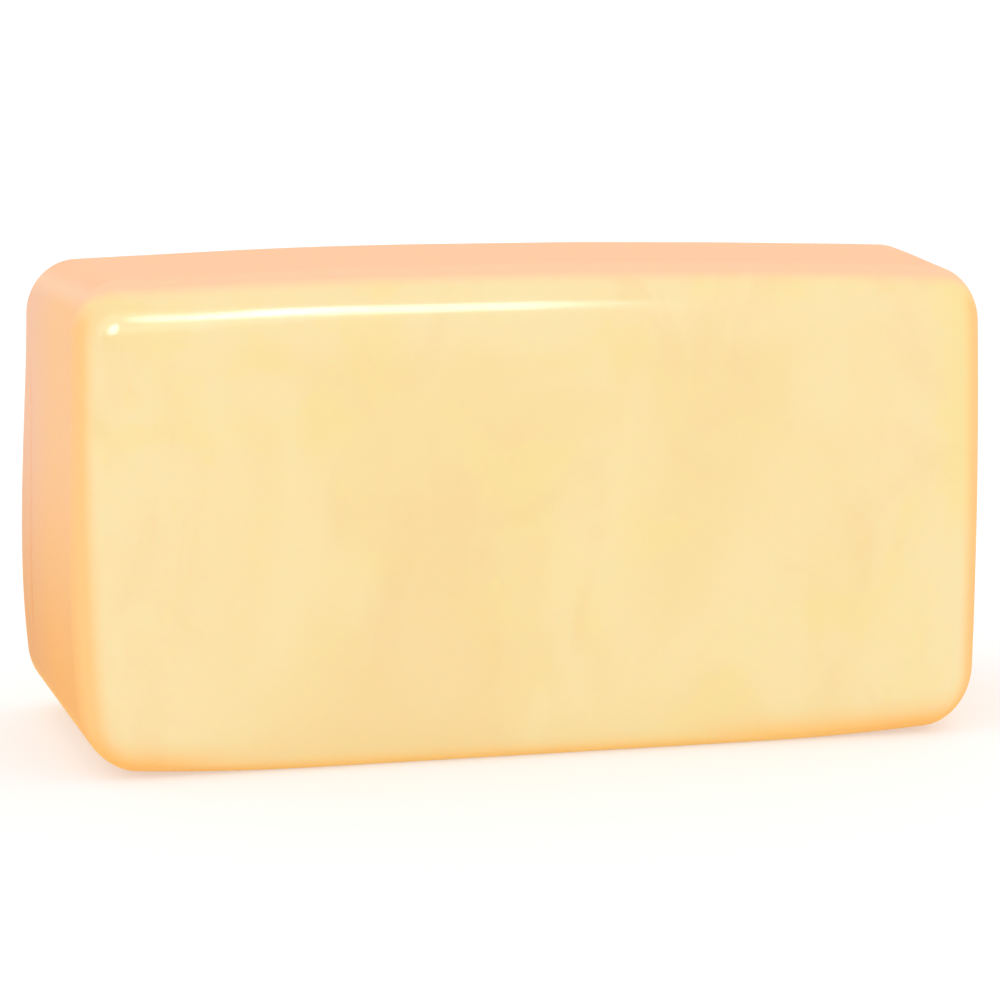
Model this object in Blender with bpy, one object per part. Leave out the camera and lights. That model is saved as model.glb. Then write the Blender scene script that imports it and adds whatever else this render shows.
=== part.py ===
"""A block of low-moisture mozzarella: one moulded, soft-edged piece that stands on its long narrow side."""
import math

import bmesh
import bpy
from mathutils import Vector

# Driving sizes in metres: X along the block, Y from the front to the back, Z up
LENGTH = 0.218
DEPTH = 0.086
HEIGHT = 0.117

# How far the rounding of the edges reaches along X, Y and Z
EDGE_REACH = Vector((0.0115, 0.0065, 0.0135))

# How the soft block departs from a plain box: its faces bulge, its top slopes, and its ends flare to the back.
# The left end flares more at its foot and the right end at its top, and the left end's foot is tucked in.
LEFT_BULGE = 0.0022
RIGHT_BULGE = 0.0010
SIDE_BULGE = 0.0004
TOP_CROWN = 0.0026
LEFT_RISE = 0.0020
TOP_FALL = 0.0064
LEFT_FLARE = 0.0036
LEFT_TWIST = 0.0010
RIGHT_FLARE = 0.0096
RIGHT_TWIST = 0.0018
LEFT_TUCK = 0.0018

# The base is flat over the middle part of its length and lifts towards both ends
BASE_FLAT = 0.5
BASE_LIFT = 0.0025

# Mesh steps: across half of a rounded edge, and between the edges along X, Y and Z
EDGE_STEPS = 4
FACE_STEPS = (24, 8, 12)

# Look of the cheese
CHEESE_COLOUR = (0.95, 0.77, 0.40, 1.0)
CHEESE_ROUGHNESS = 0.3

HALF = Vector((LENGTH, DEPTH, HEIGHT)) / 2


def cut_positions(half, reach, steps):
    """Places of the cuts along one axis: close together in the rounding, even between."""
    core = half - reach
    even = [core * (2 * i / steps - 1) for i in range(steps + 1)]
    close = [core + reach * math.tan(math.pi / 4 * i / EDGE_STEPS) for i in range(1, EDGE_STEPS)]
    return [-place for place in close] + even + close


def rounded(point):
    """Takes a point of the plain box to the box with rounded edges."""
    core = Vector([max(r - h, min(h - r, p)) for p, h, r in zip(point, HALF, EDGE_REACH)])
    outward = Vector([(p - c) / r for p, c, r in zip(point, core, EDGE_REACH)])
    outward.normalize()
    return core + outward * EDGE_REACH


def softened(point):
    """Bulges the faces, crowns and slopes the top, flares the ends and lifts the base at both ends."""
    u, v, w = (p / h for p, h in zip(point, HALF))
    right = (1 + u) / 2
    back = (1 + v) / 2
    top = (1 + w) / 2
    flare = right * (RIGHT_FLARE + RIGHT_TWIST * w) - (1 - right) * (LEFT_FLARE - LEFT_TWIST * w)
    tuck = (1 - right) * (1 - top) * LEFT_TUCK
    bulge = RIGHT_BULGE if u > 0 else LEFT_BULGE * (1 - w)
    rise = TOP_CROWN * (1 - u * u) - LEFT_RISE * u - TOP_FALL * back
    beyond_flat = max(0.0, abs(u) - BASE_FLAT) / (1 - BASE_FLAT)
    lift = BASE_LIFT * beyond_flat ** 2
    x = point.x + u * bulge * (1 - w * w) + back * flare + tuck
    y = point.y + v * SIDE_BULGE * (1 - u * u) * (1 - w * w)
    z = point.z + top * rise + (1 - top) * lift
    return Vector((x, y, z))


def block_mesh():
    """The block as one closed mesh with the middle of its footprint at the origin."""
    bm = bmesh.new()
    bmesh.ops.create_cube(bm, size=1.0)
    bmesh.ops.scale(bm, vec=HALF * 2, verts=bm.verts)
    for axis in range(3):
        normal = Vector((0.0, 0.0, 0.0))
        normal[axis] = 1.0
        for place in cut_positions(HALF[axis], EDGE_REACH[axis], FACE_STEPS[axis]):
            everything = bm.verts[:] + bm.edges[:] + bm.faces[:]
            bmesh.ops.bisect_plane(bm, geom=everything, dist=1e-7, plane_co=normal * place, plane_no=normal)
    for vert in bm.verts:
        vert.co = softened(rounded(vert.co))
    low = Vector([min(vert.co[axis] for vert in bm.verts) for axis in range(3)])
    high = Vector([max(vert.co[axis] for vert in bm.verts) for axis in range(3)])
    foot = Vector(((low.x + high.x) / 2, (low.y + high.y) / 2, low.z))
    bmesh.ops.translate(bm, vec=-foot, verts=bm.verts)
    bmesh.ops.recalc_face_normals(bm, faces=bm.faces)
    mesh = bpy.data.meshes.new("mozzarella_block")
    bm.to_mesh(mesh)
    bm.free()
    mesh.shade_smooth()
    return mesh


def cheese_material():
    """Pale yellow cheese with a smooth, slightly shiny skin."""
    material = bpy.data.materials.new("mozzarella")
    material.use_nodes = True
    shader = material.node_tree.nodes["Principled BSDF"]
    shader.inputs["Base Color"].default_value = CHEESE_COLOUR
    shader.inputs["Roughness"].default_value = CHEESE_ROUGHNESS
    shader.inputs["Metallic"].default_value = 0.0
    return material


def main():
    for leftover in list(bpy.data.objects):
        bpy.data.objects.remove(leftover, do_unlink=True)
    mesh = block_mesh()
    mesh.materials.append(cheese_material())
    block = bpy.data.objects.new("mozzarella_block", mesh)
    bpy.context.scene.collection.objects.link(block)


main()
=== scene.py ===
"""A block of low-moisture mozzarella on a pale floor: its fine surface, its skin and the studio light."""
import math

import bpy
import numpy as np
from mathutils import Matrix, Vector, noise


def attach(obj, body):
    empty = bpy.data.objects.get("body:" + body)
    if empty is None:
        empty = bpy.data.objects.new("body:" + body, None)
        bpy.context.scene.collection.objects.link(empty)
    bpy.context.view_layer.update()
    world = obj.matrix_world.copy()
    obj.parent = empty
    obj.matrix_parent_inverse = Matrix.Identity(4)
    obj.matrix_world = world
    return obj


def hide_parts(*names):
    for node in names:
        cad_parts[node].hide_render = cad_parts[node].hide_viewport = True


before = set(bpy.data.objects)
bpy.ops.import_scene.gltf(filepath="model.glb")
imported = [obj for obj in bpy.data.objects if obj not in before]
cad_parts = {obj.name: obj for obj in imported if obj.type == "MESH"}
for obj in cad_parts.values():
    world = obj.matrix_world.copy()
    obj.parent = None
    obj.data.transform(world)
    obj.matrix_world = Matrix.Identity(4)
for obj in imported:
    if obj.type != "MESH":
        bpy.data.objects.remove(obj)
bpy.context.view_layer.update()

# The block's driving sizes in metres, as in the CAD
LENGTH = 0.218
DEPTH = 0.086
HEIGHT = 0.117
HALF = np.array([LENGTH, DEPTH, HEIGHT]) / 2
EDGE_REACH = np.array([0.0115, 0.0065, 0.0135])
LEFT_BULGE = 0.0022
RIGHT_BULGE = 0.0010
SIDE_BULGE = 0.0004
TOP_CROWN = 0.0026
LEFT_RISE = 0.0020
TOP_FALL = 0.0064
LEFT_FLARE = 0.0036
LEFT_TWIST = 0.0010
RIGHT_FLARE = 0.0096
RIGHT_TWIST = 0.0018
LEFT_TUCK = 0.0018
BASE_FLAT = 0.5
BASE_LIFT = 0.0025

# Mesh steps: across half of a rounded edge, and between the edges along X, Y and Z
EDGE_STEPS = 16
FACE_STEPS = (110, 44, 64)

# Slow waves that the mould leaves, with finer and lower ones over them. They set in above the base,
# between these two values of the outward direction's Z
WAVE_HEIGHT = 0.00022
WAVE_LENGTH = 0.055
WAVE_START = 3.7
FINE_WAVE_TIMES = 2.3
FINE_WAVE_SHARE = 0.4
WAVES_SET_IN = (-0.3, 0.1)

# The fold that runs up the left end: its middle line's Y, which sweeps back above and below its level
FOLD_Y = 0.0218
FOLD_SWEEP = 0.0095
FOLD_LEVEL = 0.047
FOLD_REACH = 0.048
FOLD_SWAY = 0.0003
FOLD_SWAY_LENGTH = 0.005

# The fold's ends with their fading, its groove, and the low lip beside it as shares of the groove
FOLD_BOTTOM = 0.014
FOLD_TOP = 0.098
FOLD_FADE = 0.02
FOLD_DEPTH = 0.00045
FOLD_WIDTH = 0.0009
LIP_HEIGHT = 0.35
LIP_PLACE = 2.0
LIP_WIDTH = 1.6

# The strip of close cuts that the fold needs along Y, and the clear gap beside it
FOLD_FROM = 0.019
FOLD_TO = 0.034
FOLD_LINES = 44
FOLD_GAP = 0.0003

# Colours of the cheese in linear light. The face border colour is painted sheen, and the edge, end, rear,
# top, shoulder and underside colours are painted shade, warmer and darker than the faces; the rear ones hold
# painted sheen too
FACE_COLOUR = (0.860, 0.677, 0.345, 1.0)
# Painted sheen: the faces paler near the ends and the top edge
FACE_BORDER_SHEEN = (0.865, 0.707, 0.392, 1.0)
FACE_PALE = (0.865, 0.720, 0.405, 1.0)
FACE_BLUSH = (0.860, 0.642, 0.334, 1.0)
FACE_RICH = (0.860, 0.692, 0.314, 1.0)
FLAME_COLOUR = (0.840, 0.622, 0.318, 1.0)
# Painted shade on the front's rounded side edges
EDGE_SHADE_COLOUR = (0.930, 0.560, 0.230, 1.0)
# Painted shade on the ends, darker toward the bottom
END_SHADE_HIGH = (0.895, 0.508, 0.256, 1.0)
END_SHADE_LOW = (0.885, 0.430, 0.145, 1.0)
# Painted shade toward the ends' rear edge, with a paler painted sheen in it
REAR_SHADE_SHEEN_HIGH = (0.850, 0.492, 0.330, 1.0)
REAR_SHADE_SHEEN_LOW = (0.795, 0.390, 0.170, 1.0)
# Painted shade on the top
TOP_SHADE_COLOUR = (0.930, 0.502, 0.298, 1.0)
# Painted shade on the upper rounding between the faces and the top
SHOULDER_SHADE_COLOUR = (0.925, 0.565, 0.360, 1.0)
# Painted shade on the underside, stronger toward the ends
UNDER_SHADE_COLOUR = (0.930, 0.570, 0.192, 1.0)
UNDER_ENDS_SHADE = (0.930, 0.480, 0.142, 1.0)

# Noise over the cheese: scale, detail, roughness and distortion
CLOUDS = (26.0, 2.0, 0.5, 0.6)
STREAKS = (70.0, 3.0, 0.55, 1.2)
PATCHES = (19.0, 3.0, 0.6, 1.5)
MARKS = (40.0, 2.0, 0.5, 0.8)
SKIN = (420.0, 3.0, 0.5, 0.0)
CLOUD_STRETCH = (1.0, 1.0, 0.6)
STREAK_SHARE = 0.4

# The noise's values at which each tint of the faces sets in and is full, and how strong it gets
PALE_RANGE = (0.50, 0.68)
PALE_STRENGTH = 0.6
BLUSH_RANGE = (0.66, 0.50)
BLUSH_STRENGTH = 0.5
RICH_RANGE = (0.48, 0.60)
RICH_STRENGTH = 0.5
MARK_RANGE = (0.58, 0.74)
MARK_STRENGTH = 0.4

# The warmer flame-shaped patch on the front and back: its tip's place, how it widens, leans and wavers
FLAME_X = -0.022
FLAME_TOP = 0.074
FLAME_TIP = 0.004
FLAME_SPREAD = 0.32
FLAME_LEAN = 0.18
FLAME_SWAY = 0.020
FLAME_RANGE = (1.3, 0.5)
FLAME_FADE = (-0.004, 0.012)
FLAME_STRENGTH = 0.5

# Places in metres between which the colours blend
BORDER_X = (0.050, 0.102)
BORDER_Z = (0.094, 0.108)
UPPER_RIGHT_X = (0.090, 0.107)
UPPER_RIGHT_Z = (0.040, 0.075)
LOW_LEFT_X = (0.0, -0.05)
LOW_LEFT_Z = (0.090, 0.040)
LOW_LEFT_EXTRA = 0.10
END_START_Y = (-0.0415, -0.0350)
TOP_START_Y = (-0.0390, -0.0350)
REAR_Y = (-0.015, 0.035)
HIGH_Z = (0.015, 0.080)
BESIDE_RIGHT_X = (0.020, 0.060)

# Values of the outward direction's X or Z between which the colours blend
EDGE_TURN = (0.32, 0.66)
END_TURN = (0.50, 0.80)
CORNER_RISE = (0.50, 0.15)
SHOULDER_RISE = (0.36, 0.72)
TOP_RISE = (0.60, 0.90)
UNDER_FALL = (-0.30, -0.80)
UNDER_ENDS_FALL = (-0.10, -0.66)
UNDER_ENDS_SHARE = 0.7

# The skin's gloss, the light inside the cheese, and the fine grain of its surface
GLOSS = {
    "Roughness": 0.4,
    "Specular IOR Level": 0.0,
    "Subsurface Weight": 0.3,
    "Subsurface Radius": (1.0, 0.55, 0.25),
    "Subsurface Scale": 0.004,
    "Coat Weight": 0.03,
    "Coat Roughness": 0.12,
    "Coat IOR": 1.7,
}
GRAIN_STRENGTH = 0.25
GRAIN_HEIGHT = 0.0001

# The pale floor, which glows faintly
FLOOR_SIZE = 16.0
FLOOR_LOOK = {
    "Base Color": (0.600, 0.600, 0.600, 1.0),
    "Emission Color": (1.0, 1.0, 1.0, 1.0),
    "Emission Strength": 0.40,
    "Roughness": 0.9,
    "Specular IOR Level": 0.0,
}

# The light all round: its strength at the horizon and from the given height upward
HORIZON_LIGHT = 1.01
UPPER_LIGHT = 1.10
UPPER_FROM = 0.7

# The points that the softboxes face: the block's middle and two on its top front edge
BLOCK_MIDDLE = Vector((0, 0, HEIGHT / 2))
EDGE_MIDDLE = Vector((0.0, -0.043, 0.110))
EDGE_CORNER = Vector((-0.106, -0.042, 0.108))

# The camera, as the photograph's: place in metres and degrees, lens in millimetres
VIEW_TARGET = Vector((-0.0029, -0.0006, 0.0553))
VIEW_AZIMUTH = -12.10
VIEW_ELEVATION = 11.42
VIEW_ROLL = -0.25
VIEW_DISTANCE = 1.1067
VIEW_END = 100.0
SENSOR_WIDTH = 36.0
LENS = 4.5 * SENSOR_WIDTH


def cut_positions(half, reach, steps):
    """Places of the cuts along one axis, its two sides included: close together in the rounding."""
    core = half - reach
    even = [core * (2 * i / steps - 1) for i in range(steps + 1)]
    close = [core + reach * math.tan(math.pi / 4 * i / EDGE_STEPS) for i in range(1, EDGE_STEPS + 1)]
    return sorted([-place for place in close] + even + close)


def box_lattice(lines):
    """Corners and four-sided faces of a box that is cut at the given places along X, Y and Z."""
    numbers = {}
    faces = []
    for axis in range(3):
        first, second = (axis + 1) % 3, (axis + 2) % 3
        for side in (0, len(lines[axis]) - 1):
            for i in range(len(lines[first]) - 1):
                for j in range(len(lines[second]) - 1):
                    ring = [(i, j), (i + 1, j), (i + 1, j + 1), (i, j + 1)]
                    if side == 0:
                        ring.reverse()
                    face = []
                    for p, q in ring:
                        key = [0, 0, 0]
                        key[axis], key[first], key[second] = side, p, q
                        face.append(numbers.setdefault(tuple(key), len(numbers)))
                    faces.append(face)
    corners = np.array([[lines[axis][key[axis]] for axis in range(3)] for key in numbers])
    return corners, faces


def rounded(points):
    """Takes the plain box to the box with rounded edges. Returns its points and their outward directions."""
    core = np.clip(points, EDGE_REACH - HALF, HALF - EDGE_REACH)
    outward = (points - core) / EDGE_REACH
    outward /= np.linalg.norm(outward, axis=1)[:, None]
    normal = outward / EDGE_REACH
    normal /= np.linalg.norm(normal, axis=1)[:, None]
    return core + outward * EDGE_REACH, normal


def softened(points):
    """Bulges the faces, crowns and slopes the top, flares the ends and lifts the base at both ends."""
    u, v, w = (points / HALF).T
    right, back, top = (1 + u) / 2, (1 + v) / 2, (1 + w) / 2
    flare = right * (RIGHT_FLARE + RIGHT_TWIST * w) - (1 - right) * (LEFT_FLARE - LEFT_TWIST * w)
    tuck = (1 - right) * (1 - top) * LEFT_TUCK
    bulge = np.where(u > 0, RIGHT_BULGE, LEFT_BULGE * (1 - w))
    rise = TOP_CROWN * (1 - u * u) - LEFT_RISE * u - TOP_FALL * back
    beyond_flat = np.maximum(0.0, np.abs(u) - BASE_FLAT) / (1 - BASE_FLAT)
    lift = BASE_LIFT * beyond_flat ** 2
    x = points[:, 0] + u * bulge * (1 - w * w) + back * flare + tuck
    y = points[:, 1] + v * SIDE_BULGE * (1 - u * u) * (1 - w * w)
    z = points[:, 2] + top * rise + (1 - top) * lift
    return np.stack([x, y, z], axis=1)


def smooth_step(low, high, values):
    """0 at the first value, 1 at the second, and a smooth rise between them."""
    t = np.clip((values - low) / (high - low), 0.0, 1.0)
    return t * t * (3 - 2 * t)


def fold_height(points, normals):
    """The shallow fold that runs up the left end close to its rear edge."""
    y, z = points[:, 1], points[:, 2]
    sweep = FOLD_SWEEP * ((z - FOLD_LEVEL) / FOLD_REACH) ** 2
    middle = FOLD_Y + sweep + FOLD_SWAY * np.sin(z / FOLD_SWAY_LENGTH)
    above_bottom = smooth_step(FOLD_BOTTOM, FOLD_BOTTOM + FOLD_FADE, z)
    below_top = smooth_step(FOLD_TOP, FOLD_TOP - FOLD_FADE, z)
    groove = -np.exp(-((y - middle) / FOLD_WIDTH) ** 2)
    lip = LIP_HEIGHT * np.exp(-((y - middle - LIP_PLACE * FOLD_WIDTH) / (LIP_WIDTH * FOLD_WIDTH)) ** 2)
    return FOLD_DEPTH * (groove + lip) * above_bottom * below_top * np.maximum(0.0, -normals[:, 0])


def wave_height(points, normals):
    """Slow waves over the faces, none on the base that the block stands on."""
    slow = np.array([noise.noise(Vector(p / WAVE_LENGTH + WAVE_START)) for p in points])
    fine = np.array([noise.noise(Vector(p / WAVE_LENGTH * FINE_WAVE_TIMES)) for p in points])
    return WAVE_HEIGHT * (slow + FINE_WAVE_SHARE * fine) * smooth_step(*WAVES_SET_IN, normals[:, 2])


def block():
    """The whole block as one fine closed mesh, at the CAD solid's place."""
    lines = [cut_positions(HALF[axis], EDGE_REACH[axis], FACE_STEPS[axis]) for axis in range(3)]
    beside_fold = [y for y in lines[1] if not FOLD_FROM - FOLD_GAP < y < FOLD_TO + FOLD_GAP]
    lines[1] = sorted(beside_fold + list(np.linspace(FOLD_FROM, FOLD_TO, FOLD_LINES)))
    corners, faces = box_lattice(lines)
    points, normals = rounded(corners)
    points = softened(points)
    low, high = points.min(axis=0), points.max(axis=0)
    points -= np.array([(low[0] + high[0]) / 2, (low[1] + high[1]) / 2, low[2]])
    relief = wave_height(points, normals) + fold_height(points, normals)
    points += normals * relief[:, None]
    mesh = bpy.data.meshes.new("cheese_block")
    mesh.from_pydata(points.tolist(), [], faces)
    mesh.validate()
    mesh.shade_smooth()
    piece = bpy.data.objects.new("cheese_block", mesh)
    bpy.context.scene.collection.objects.link(piece)
    return piece


class Nodes:
    """Short calls for building a material's node tree."""

    def __init__(self, material):
        material.use_nodes = True
        self.tree = material.node_tree
        self.tree.nodes.clear()

    def add(self, kind, **values):
        node = self.tree.nodes.new(kind)
        for name, value in values.items():
            setattr(node, name, value)
        return node

    def link(self, source, target):
        self.tree.links.new(source, target)

    def fill(self, socket, value):
        """Links a node's output to the socket, or gives the socket a constant."""
        if isinstance(value, bpy.types.NodeSocket):
            self.link(value, socket)
        else:
            socket.default_value = value

    def split(self, vector):
        node = self.add("ShaderNodeSeparateXYZ")
        self.link(vector, node.inputs["Vector"])
        return node.outputs

    def noise(self, coordinates, settings):
        node = self.add("ShaderNodeTexNoise")
        for name, number in zip(("Scale", "Detail", "Roughness", "Distortion"), settings):
            node.inputs[name].default_value = number
        self.link(coordinates, node.inputs["Vector"])
        return node.outputs["Fac"]

    def range(self, value, limits, full=1.0):
        """0 at the first limit, full at the second, and a smooth blend between them."""
        node = self.add("ShaderNodeMapRange", interpolation_type="SMOOTHSTEP")
        for name, number in zip(("From Min", "From Max", "To Min", "To Max"), (*limits, 0.0, full)):
            node.inputs[name].default_value = number
        self.link(value, node.inputs["Value"])
        return node.outputs["Result"]

    def mix(self, factor, first, second):
        node = self.add("ShaderNodeMix", data_type="RGBA")
        for name, value in (("Factor", factor), ("A", first), ("B", second)):
            self.fill(node.inputs[name], value)
        return node.outputs["Result"]

    def math(self, operation, first, second=0.0):
        node = self.add("ShaderNodeMath", operation=operation)
        self.fill(node.inputs[0], first)
        self.fill(node.inputs[1], second)
        return node.outputs["Value"]


def flame_mask(n, spot, streaks):
    """1 inside the warmer patch, which widens downward from its tip and leans to one side."""
    drop = n.math("SUBTRACT", FLAME_TOP, spot["Z"])
    sway = n.math("MULTIPLY", n.math("SUBTRACT", streaks, 0.5), FLAME_SWAY)
    lean = n.math("MULTIPLY", drop, FLAME_LEAN)
    aside = n.math("ADD", n.math("SUBTRACT", spot["X"], FLAME_X), lean)
    width = n.math("ADD", n.math("MULTIPLY", drop, FLAME_SPREAD), FLAME_TIP)
    spread = n.math("DIVIDE", n.math("ABSOLUTE", n.math("ADD", aside, sway)), width)
    return n.math("MULTIPLY", n.range(spread, FLAME_RANGE), n.range(drop, FLAME_FADE))


def face_colour(n, place, spot, border):
    """The front's and back's pale yellow, with clouds, blushes, richer patches, marks and the flame, a paler
    painted sheen near the ends and the top edge, and painted shade along the upper right edge.
    """
    stretch = n.add("ShaderNodeMapping")
    stretch.inputs["Scale"].default_value = CLOUD_STRETCH
    n.link(place, stretch.inputs["Vector"])
    stretched = stretch.outputs["Vector"]
    clouds = n.noise(stretched, CLOUDS)
    streaks = n.noise(stretched, STREAKS)
    uneven = n.math("ADD", clouds, n.math("MULTIPLY", streaks, STREAK_SHARE))
    # Painted shade: the faces deeper yellow along the upper right edge
    upper_right_shade = n.math("MULTIPLY", n.range(spot["X"], UPPER_RIGHT_X), n.range(spot["Z"], UPPER_RIGHT_Z))
    tints = (
        # Painted sheen near the ends and the top edge
        (n.math("MAXIMUM", border, n.range(spot["Z"], BORDER_Z)), 1.0, FACE_BORDER_SHEEN),
        (n.range(n.noise(place, PATCHES), RICH_RANGE), RICH_STRENGTH, FACE_RICH),
        (n.range(clouds, PALE_RANGE), PALE_STRENGTH, FACE_PALE),
        (n.range(uneven, BLUSH_RANGE), BLUSH_STRENGTH, FACE_BLUSH),
        (n.range(n.noise(stretched, MARKS), MARK_RANGE), MARK_STRENGTH, FLAME_COLOUR),
        (upper_right_shade, 1.0, FACE_RICH),
        (flame_mask(n, spot, streaks), FLAME_STRENGTH, FLAME_COLOUR),
    )
    colour = FACE_COLOUR
    for mask, strength, tint in tints:
        colour = n.mix(n.math("MULTIPLY", mask, strength), colour, tint)
    return colour


def cheese_colour(n, place, outward):
    """The faces' colour, then painted shade over it: the warmer, darker front edges, ends, shoulders, top
    and underside, with painted sheen toward the ends' rear edge.
    """
    spot = n.split(place)
    facing = n.split(outward)
    border = n.range(n.math("ABSOLUTE", spot["X"]), BORDER_X)
    turned = n.math("ABSOLUTE", facing["X"])
    # Painted shade on the front's rounded side edges, reaching further in at the lower left
    low_left_shade = n.math("MULTIPLY", n.range(spot["Z"], LOW_LEFT_Z, LOW_LEFT_EXTRA),
                      n.range(spot["X"], LOW_LEFT_X))
    edge_shade_mask = n.math("MULTIPLY", n.range(n.math("ADD", turned, low_left_shade), EDGE_TURN),
                     n.range(facing["Z"], CORNER_RISE))
    # Painted shade on the ends
    end_shade_mask = n.math("MULTIPLY", n.range(turned, END_TURN), n.range(spot["Y"], END_START_Y))
    # Painted shade on the top
    top_shade_mask = n.math("MULTIPLY", n.range(facing["Z"], TOP_RISE), n.range(spot["Y"], TOP_START_Y))
    # Painted shade on the underside, stronger near the ends
    beside_ends = n.math("MAXIMUM", border, n.range(spot["X"], BESIDE_RIGHT_X))
    under_ends_shade_mask = n.math("MULTIPLY", beside_ends, n.range(facing["Z"], UNDER_ENDS_FALL))
    under = n.math("MAXIMUM", n.range(facing["Z"], UNDER_FALL), under_ends_shade_mask)

    # The ends' painted shade: darker toward the bottom, with a paler painted sheen toward the rear edge
    high = n.range(spot["Z"], HIGH_Z)
    end = n.mix(n.range(spot["Y"], REAR_Y), n.mix(high, END_SHADE_LOW, END_SHADE_HIGH), n.mix(high, REAR_SHADE_SHEEN_LOW, REAR_SHADE_SHEEN_HIGH))
    underside = n.mix(n.math("MULTIPLY", border, UNDER_ENDS_SHARE), UNDER_SHADE_COLOUR, UNDER_ENDS_SHADE)
    colour = n.mix(edge_shade_mask, face_colour(n, place, spot, border), EDGE_SHADE_COLOUR)
    colour = n.mix(end_shade_mask, colour, end)
    # Painted shade on the upper rounding
    colour = n.mix(n.range(facing["Z"], SHOULDER_RISE), colour, SHOULDER_SHADE_COLOUR)
    colour = n.mix(top_shade_mask, colour, TOP_SHADE_COLOUR)
    return n.mix(under, colour, underside)


def cheese_material():
    """Pale yellow cheese: cloudy faces, painted shade that makes the top, ends, edges and underside warmer
    and darker, painted sheen near the face edges, and a smooth shiny skin.
    """
    material = bpy.data.materials.new("mozzarella")
    n = Nodes(material)
    coordinates = n.add("ShaderNodeTexCoord").outputs
    bump = n.add("ShaderNodeBump")
    bump.inputs["Strength"].default_value = GRAIN_STRENGTH
    bump.inputs["Distance"].default_value = GRAIN_HEIGHT
    n.link(n.noise(coordinates["Object"], SKIN), bump.inputs["Height"])

    shader = n.add("ShaderNodeBsdfPrincipled")
    n.link(cheese_colour(n, coordinates["Object"], coordinates["Normal"]), shader.inputs["Base Color"])
    n.link(bump.outputs["Normal"], shader.inputs["Normal"])
    for name, value in GLOSS.items():
        shader.inputs[name].default_value = value
    output = n.add("ShaderNodeOutputMaterial")
    n.link(shader.outputs["BSDF"], output.inputs["Surface"])
    return material


def floor():
    """A plain pale floor that runs out past the camera's view."""
    half = FLOOR_SIZE / 2
    corners = [(-half, -half, 0), (half, -half, 0), (half, half, 0), (-half, half, 0)]
    mesh = bpy.data.meshes.new("floor")
    mesh.from_pydata(corners, [], [(0, 1, 2, 3)])
    material = bpy.data.materials.new("floor")
    material.use_nodes = True
    shader = material.node_tree.nodes["Principled BSDF"]
    for name, value in FLOOR_LOOK.items():
        shader.inputs[name].default_value = value
    mesh.materials.append(material)
    piece = bpy.data.objects.new("floor", mesh)
    bpy.context.scene.collection.objects.link(piece)
    return piece


def direction(azimuth, elevation):
    """Unit vector from the block: azimuth 0 is the front, 90 the right end."""
    a, e = math.radians(azimuth), math.radians(elevation)
    return Vector((math.sin(a) * math.cos(e), -math.cos(a) * math.cos(e), math.sin(e)))


def facing_turn(sight, roll):
    """The turn that looks along the sight line, rolled by some degrees about it."""
    return sight.to_track_quat("-Z", "Y") @ Matrix.Rotation(math.radians(roll), 4, "Z").to_quaternion()


def softbox(name, aim, azimuth, elevation, distance, width, height, power, shape="RECTANGLE", tilt=0):
    """An area light that faces a point of the block, with a positive tilt raising its right end."""
    light = bpy.data.lights.new(name, "AREA")
    light.shape = shape
    light.size, light.size_y = width, height
    light.energy = power
    lamp = bpy.data.objects.new(name, light)
    lamp.location = aim + direction(azimuth, elevation) * distance
    lamp.rotation_mode = "QUATERNION"
    lamp.rotation_quaternion = facing_turn(aim - lamp.location, tilt)
    bpy.context.scene.collection.objects.link(lamp)
    return lamp


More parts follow.
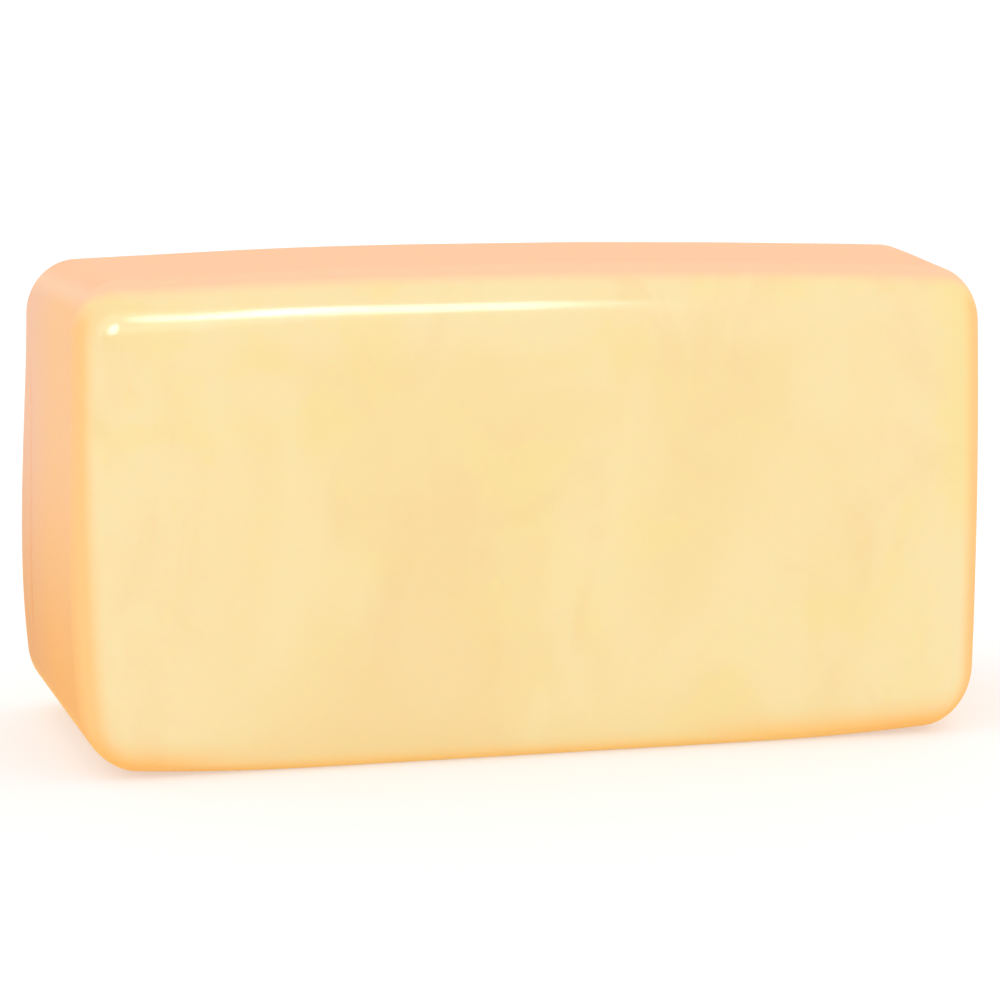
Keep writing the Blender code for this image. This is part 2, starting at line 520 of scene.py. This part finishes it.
def light_all_round():
    """Soft white light from everywhere, a little brighter from above."""
    world = bpy.data.worlds.new("studio")
    bpy.context.scene.world = world
    world.use_nodes = True
    tree = world.node_tree
    place = tree.nodes.new("ShaderNodeTexCoord")
    parts = tree.nodes.new("ShaderNodeSeparateXYZ")
    height = tree.nodes.new("ShaderNodeMapRange")
    height.interpolation_type = "SMOOTHSTEP"
    limits = {"From Min": 0.0, "From Max": UPPER_FROM, "To Min": HORIZON_LIGHT, "To Max": UPPER_LIGHT}
    for name, number in limits.items():
        height.inputs[name].default_value = number
    background = tree.nodes["Background"]
    background.inputs["Color"].default_value = (1.0, 1.0, 1.0, 1.0)
    tree.links.new(place.outputs["Generated"], parts.inputs["Vector"])
    tree.links.new(parts.outputs["Z"], height.inputs["Value"])
    tree.links.new(height.outputs["Result"], background.inputs["Strength"])


def softboxes():
    """A wide box in front, one behind that leaves no gleam, and four that only give the gleams."""
    softbox("front_box", BLOCK_MIDDLE, azimuth=-8, elevation=5, distance=2.2,
            width=2.0, height=0.36, power=4.0)
    back_box = softbox("back_box", BLOCK_MIDDLE, azimuth=167, elevation=12, distance=2.2,
                       width=1.2, height=0.9, power=4.0)
    back_box.visible_glossy = False
    gleams = (
        softbox("edge_glint", EDGE_MIDDLE, azimuth=9.1, elevation=10.9, distance=1.514,
                width=0.26, height=0.20, power=32.0, tilt=-18),
        softbox("edge_start", EDGE_MIDDLE, azimuth=5.3, elevation=11.8, distance=1.514,
                width=0.12, height=0.16, power=8.5, tilt=-18),
        softbox("corner_glint", EDGE_CORNER, azimuth=-8.3, elevation=1.8, distance=1.5,
                width=0.38, height=0.25, power=52.0, shape="ELLIPSE", tilt=22),
        softbox("corner_sheen", EDGE_CORNER, azimuth=-9.0, elevation=6.0, distance=1.5,
                width=1.30, height=0.80, power=75.0, shape="ELLIPSE", tilt=15),
    )
    for lamp in gleams:
        lamp.visible_diffuse = False


def camera():
    """The camera at the photograph's angle and distance."""
    data = bpy.data.cameras.new("camera")
    data.sensor_width = SENSOR_WIDTH
    data.lens = LENS
    data.clip_end = VIEW_END
    seen_from = bpy.data.objects.new("camera", data)
    back = direction(VIEW_AZIMUTH, VIEW_ELEVATION)
    seen_from.location = VIEW_TARGET + back * VIEW_DISTANCE
    seen_from.rotation_mode = "QUATERNION"
    seen_from.rotation_quaternion = facing_turn(-back, VIEW_ROLL)
    bpy.context.scene.collection.objects.link(seen_from)
    bpy.context.scene.camera = seen_from


camera()
light_all_round()
softboxes()
floor()

cheese = block()
cheese.data.materials.append(cheese_material())
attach(cheese, "root")
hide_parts("mozzarella_block")

bpy.context.scene.view_settings.view_transform = "Standard"
